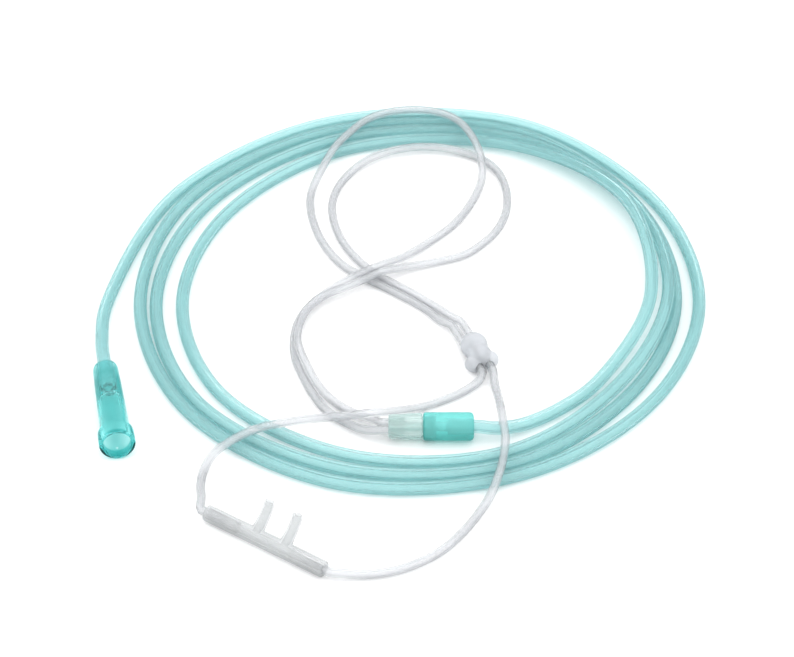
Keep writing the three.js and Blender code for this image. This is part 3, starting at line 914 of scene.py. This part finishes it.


# Each material's deep colour is painted shade at its edges as seen from the camera. Where by_wall
# is on, it also tints the thick rims.
aqua_tube = clear_plastic(
    "aqua tube",
    pale=(0.63, 0.86, 0.865),
    deep_tint_and_edge_shade=(0.12, 0.42, 0.44),
    roughness=0.03,
    transmission=0.85,
    edge_shade_power=2.0,
    gloss=0.2,
)
teal_connector = clear_plastic(
    "teal connector",
    pale=(0.31, 0.79, 0.78),
    deep_tint_and_edge_shade=(0.03, 0.48, 0.48),
    roughness=0.02,
    transmission=0.92,
    edge_shade_power=1.3,
    gloss=0.08,
)
aqua_sleeve = clear_plastic(
    "aqua sleeve",
    pale=(0.25, 0.75, 0.72),
    deep_tint_and_edge_shade=(0.04, 0.5, 0.46),
    roughness=0.05,
    transmission=0.7,
    edge_shade_power=2.5,
    gloss=0.1,
)
pale_collar = clear_plastic(
    "pale collar",
    pale=(0.72, 0.86, 0.84),
    deep_tint_and_edge_shade=(0.4, 0.6, 0.58),
    roughness=0.05,
    transmission=0.72,
    edge_shade_power=2.5,
    gloss=0.1,
    by_wall=False,
)
face_clear = clear_plastic(
    "clear face tube",
    pale=(0.86, 0.87, 0.885),
    deep_tint_and_edge_shade=(0.28, 0.3, 0.32),
    roughness=0.03,
    transmission=0.8,
    edge_shade_power=2.0,
    gloss=0.2,
)
frosted_bead = clear_plastic(
    "frosted bead",
    pale=(0.78, 0.8, 0.83),
    deep_tint_and_edge_shade=(0.58, 0.6, 0.63),
    roughness=0.3,
    transmission=0.55,
    ior=FROSTED_IOR,
    by_wall=False,
)
milky_piece = clear_plastic(
    "milky piece",
    pale=(0.79, 0.805, 0.81),
    deep_tint_and_edge_shade=(0.5, 0.525, 0.535),
    roughness=0.06,
    transmission=0.74,
    edge_shade_power=2.0,
    by_wall=False,
)
paint(supply_tube, aqua_tube)
paint(connector, teal_connector)
paint(sleeve, aqua_sleeve)
paint(collar, pale_collar)
paint(near_tube, face_clear)
paint(far_tube, face_clear)
paint(slider, frosted_bead)
paint(nasal_piece, milky_piece)


# The floor and the light
FLOOR_REACH = 4.0  # metres from the middle to each side
FLOOR_DROP = 0.0002  # how far it lies under the part, in metres
FLOOR_COLOUR = (0.96, 0.96, 0.96, 1)
FLOOR_ROUGHNESS = 0.9
ROOM_LIGHT = 0.9
OVERHEAD_LIGHT = 0.9  # added from straight above
# Where each window is, how small it is, and how bright.
WINDOWS = (((-0.55, 0.5, 0.67), 50, 1.6), ((0.6, -0.2, 0.77), 30, 0.8))
LIGHT_BOUNCES = 40  # enough for the many walls of tubes that cross


def make_stage():
    mesh = bpy.data.meshes.new("floor")
    size = FLOOR_REACH
    corners = [(-size, -size, 0), (size, -size, 0), (size, size, 0), (-size, size, 0)]
    mesh.from_pydata([Vector(c) for c in corners], [], [(0, 1, 2, 3)])
    floor = new_object("floor", mesh)
    floor.location.z = -FLOOR_DROP
    m = Maker(bpy.data.materials.new("floor"))
    paint(
        floor,
        m.finish(
            m.node(
                "ShaderNodeBsdfPrincipled",
                values={"Base Color": FLOOR_COLOUR, "Roughness": FLOOR_ROUGHNESS},
            )
        ),
    )


def make_world():
    """Soft light from all round, brightest overhead, with two wide pale windows."""
    world = bpy.data.worlds.new("studio")
    m = Maker(world, "ShaderNodeOutputWorld")
    direction = m.node("ShaderNodeTexCoord", out=0)
    height = m.node("ShaderNodeSeparateXYZ", values={0: direction}, out=2)
    above = m.node("ShaderNodeMath", {"operation": "MAXIMUM"}, {0: height, 1: 0.0})
    light = ROOM_LIGHT + OVERHEAD_LIGHT * above
    for aim, spread, strength in WINDOWS:
        towards = Vector(aim).normalized()
        near = m.node(
            "ShaderNodeVectorMath",
            {"operation": "DOT_PRODUCT"},
            {0: direction, 1: towards},
            out=1,
        )
        near = m.node("ShaderNodeMath", {"operation": "MAXIMUM"}, {0: near, 1: 0.0})
        light = light + strength * near**spread
    m.finish(
        m.node(
            "ShaderNodeBackground", values={"Color": (1, 1, 1, 1), "Strength": light}
        )
    )
    bpy.context.scene.world = world


make_stage()
make_world()
bpy.context.scene.cycles.max_bounces = LIGHT_BOUNCES
bpy.context.scene.cycles.transmission_bounces = LIGHT_BOUNCES
bpy.context.scene.view_settings.view_transform = "Standard"

# The pieces' bodies
for piece, node, slot, body in (
    (supply_tube, "supply_tube", "supply_tube", SET),
    (connector, "supply_connector", "supply_connector", SET),
    (sleeve, "junction_sleeve", "junction_sleeve", SET),
    (collar, "junction_collar", "junction_collar", SET),
    (near_tube, "face_tube_near", "face_tube", SET),
    (far_tube, "face_tube_far", "face_tube", SET),
    (slider, "slider", "slider", "slider"),
    (nasal_piece, "nasal_piece", "nasal_piece", SET),
):
    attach(piece, body)
    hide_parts(node)


def in_metres(line):
    return [tuple(p * MM) for p in line]


def declare_cord(line):
    points = in_metres(line)
    length_of(line) * MM


declare_cord(supply_line)
declare_cord(near_line)
declare_cord(far_line)
